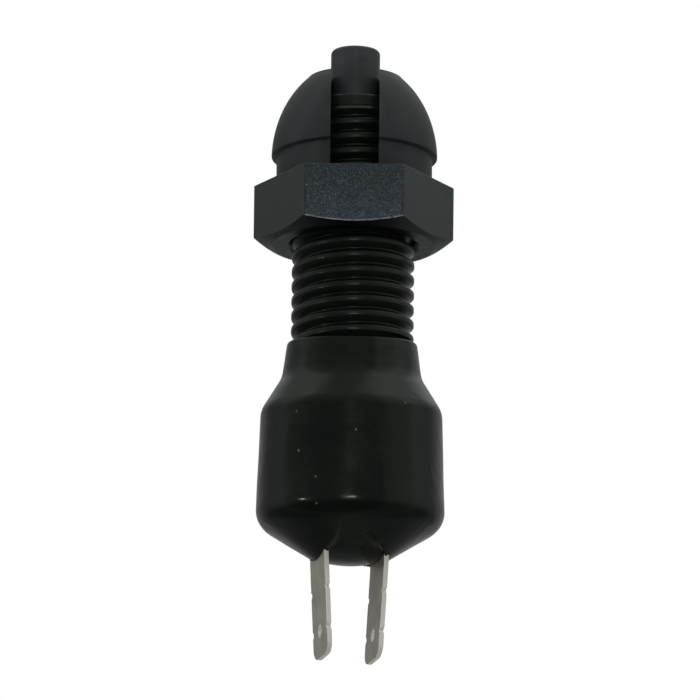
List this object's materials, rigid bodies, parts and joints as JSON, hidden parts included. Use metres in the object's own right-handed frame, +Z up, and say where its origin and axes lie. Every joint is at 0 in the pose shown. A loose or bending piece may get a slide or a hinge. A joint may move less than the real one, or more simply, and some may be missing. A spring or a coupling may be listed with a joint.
{
  "type": "panel-mount momentary push button",
  "caption": "Momentary push button with a round plunger, slotted dome guard, hex panel nut, threaded barrel, moulded sealing boot and flat terminal blades.",
  "frame": {"origin": "on the barrel's axis, on the plane where the dome guard's foot meets the panel nut", "axes": "+Z up the plunger, away from the terminals; the guard's slot and one flat of the nut face -Y"},
  "size_m": [0.0196, 0.0186, 0.0616],
  "materials": {
    "guard_plastic": "satin moulded",
    "nut_black": "black oxide, fine grain",
    "barrel_black": "black, cut thread",
    "plunger_plastic": "satin moulded",
    "seal_rubber": "matte",
    "boot_rubber": "glossy dip-moulded",
    "spring_steel": "drawn wire",
    "clip_steel": "stamped",
    "bush_brass": "turned",
    "case_plastic": "moulded phenolic",
    "potting_resin": "poured resin",
    "contact_silver": "silver",
    "tinned_brass": "tinned, satin"
  },
  "bodies": {
    "housing": {"threaded_barrel": "barrel_black", "plunger_seal": "seal_rubber", "seal_retainer": "clip_steel", "return_spring": "spring_steel", "spring_seat_bush": "bush_brass", "barrel_gasket": "seal_rubber", "barrel_clip": "clip_steel", "switch_case": "case_plastic", "fixed_contact_left": "contact_silver", "fixed_contact_right": "contact_silver", "terminal_left": "tinned_brass", "terminal_right": "tinned_brass", "terminal_base": "case_plastic", "potting": "potting_resin", "rubber_boot": "boot_rubber"},
    "plunger": {"plunger": "plunger_plastic", "contact_carrier": "case_plastic", "carrier_clip": "clip_steel", "contact_spring": "spring_steel"},
    "bridge": {"contact_bridge": "bush_brass", "bridge_contact_left": "contact_silver", "bridge_contact_right": "contact_silver"},
    "nut": {"hex_nut": "nut_black"},
    "guard": {"dome_guard": "guard_plastic"}
  },
  "joints": [
    {"name": "plunger_travel", "type": "slide", "parent": "housing", "child": "plunger", "axis": [0, 0, 1], "range_m": [-0.0025, 0], "stiffness_N_per_m": 500, "springref_m": 0.004, "deforming": ["return_spring"]},
    {"name": "contact_overtravel", "type": "slide", "parent": "plunger", "child": "bridge", "axis": [0, 0, 1], "range_m": [0, 0.001], "deforming": ["contact_spring"]},
    {"name": "nut_run", "type": "slide", "parent": "housing", "child": "nut", "axis": [0, 0, 1], "range_m": [-0.0094, 0]},
    {"name": "guard_lift", "type": "slide", "parent": "housing", "child": "guard", "axis": [0, 0, 1], "range_m": [0, 0.015]}
  ],
  "couplings": [
    {"joint": "contact_overtravel", "follows": "plunger_travel", "ratio": -0.4}
  ]
}
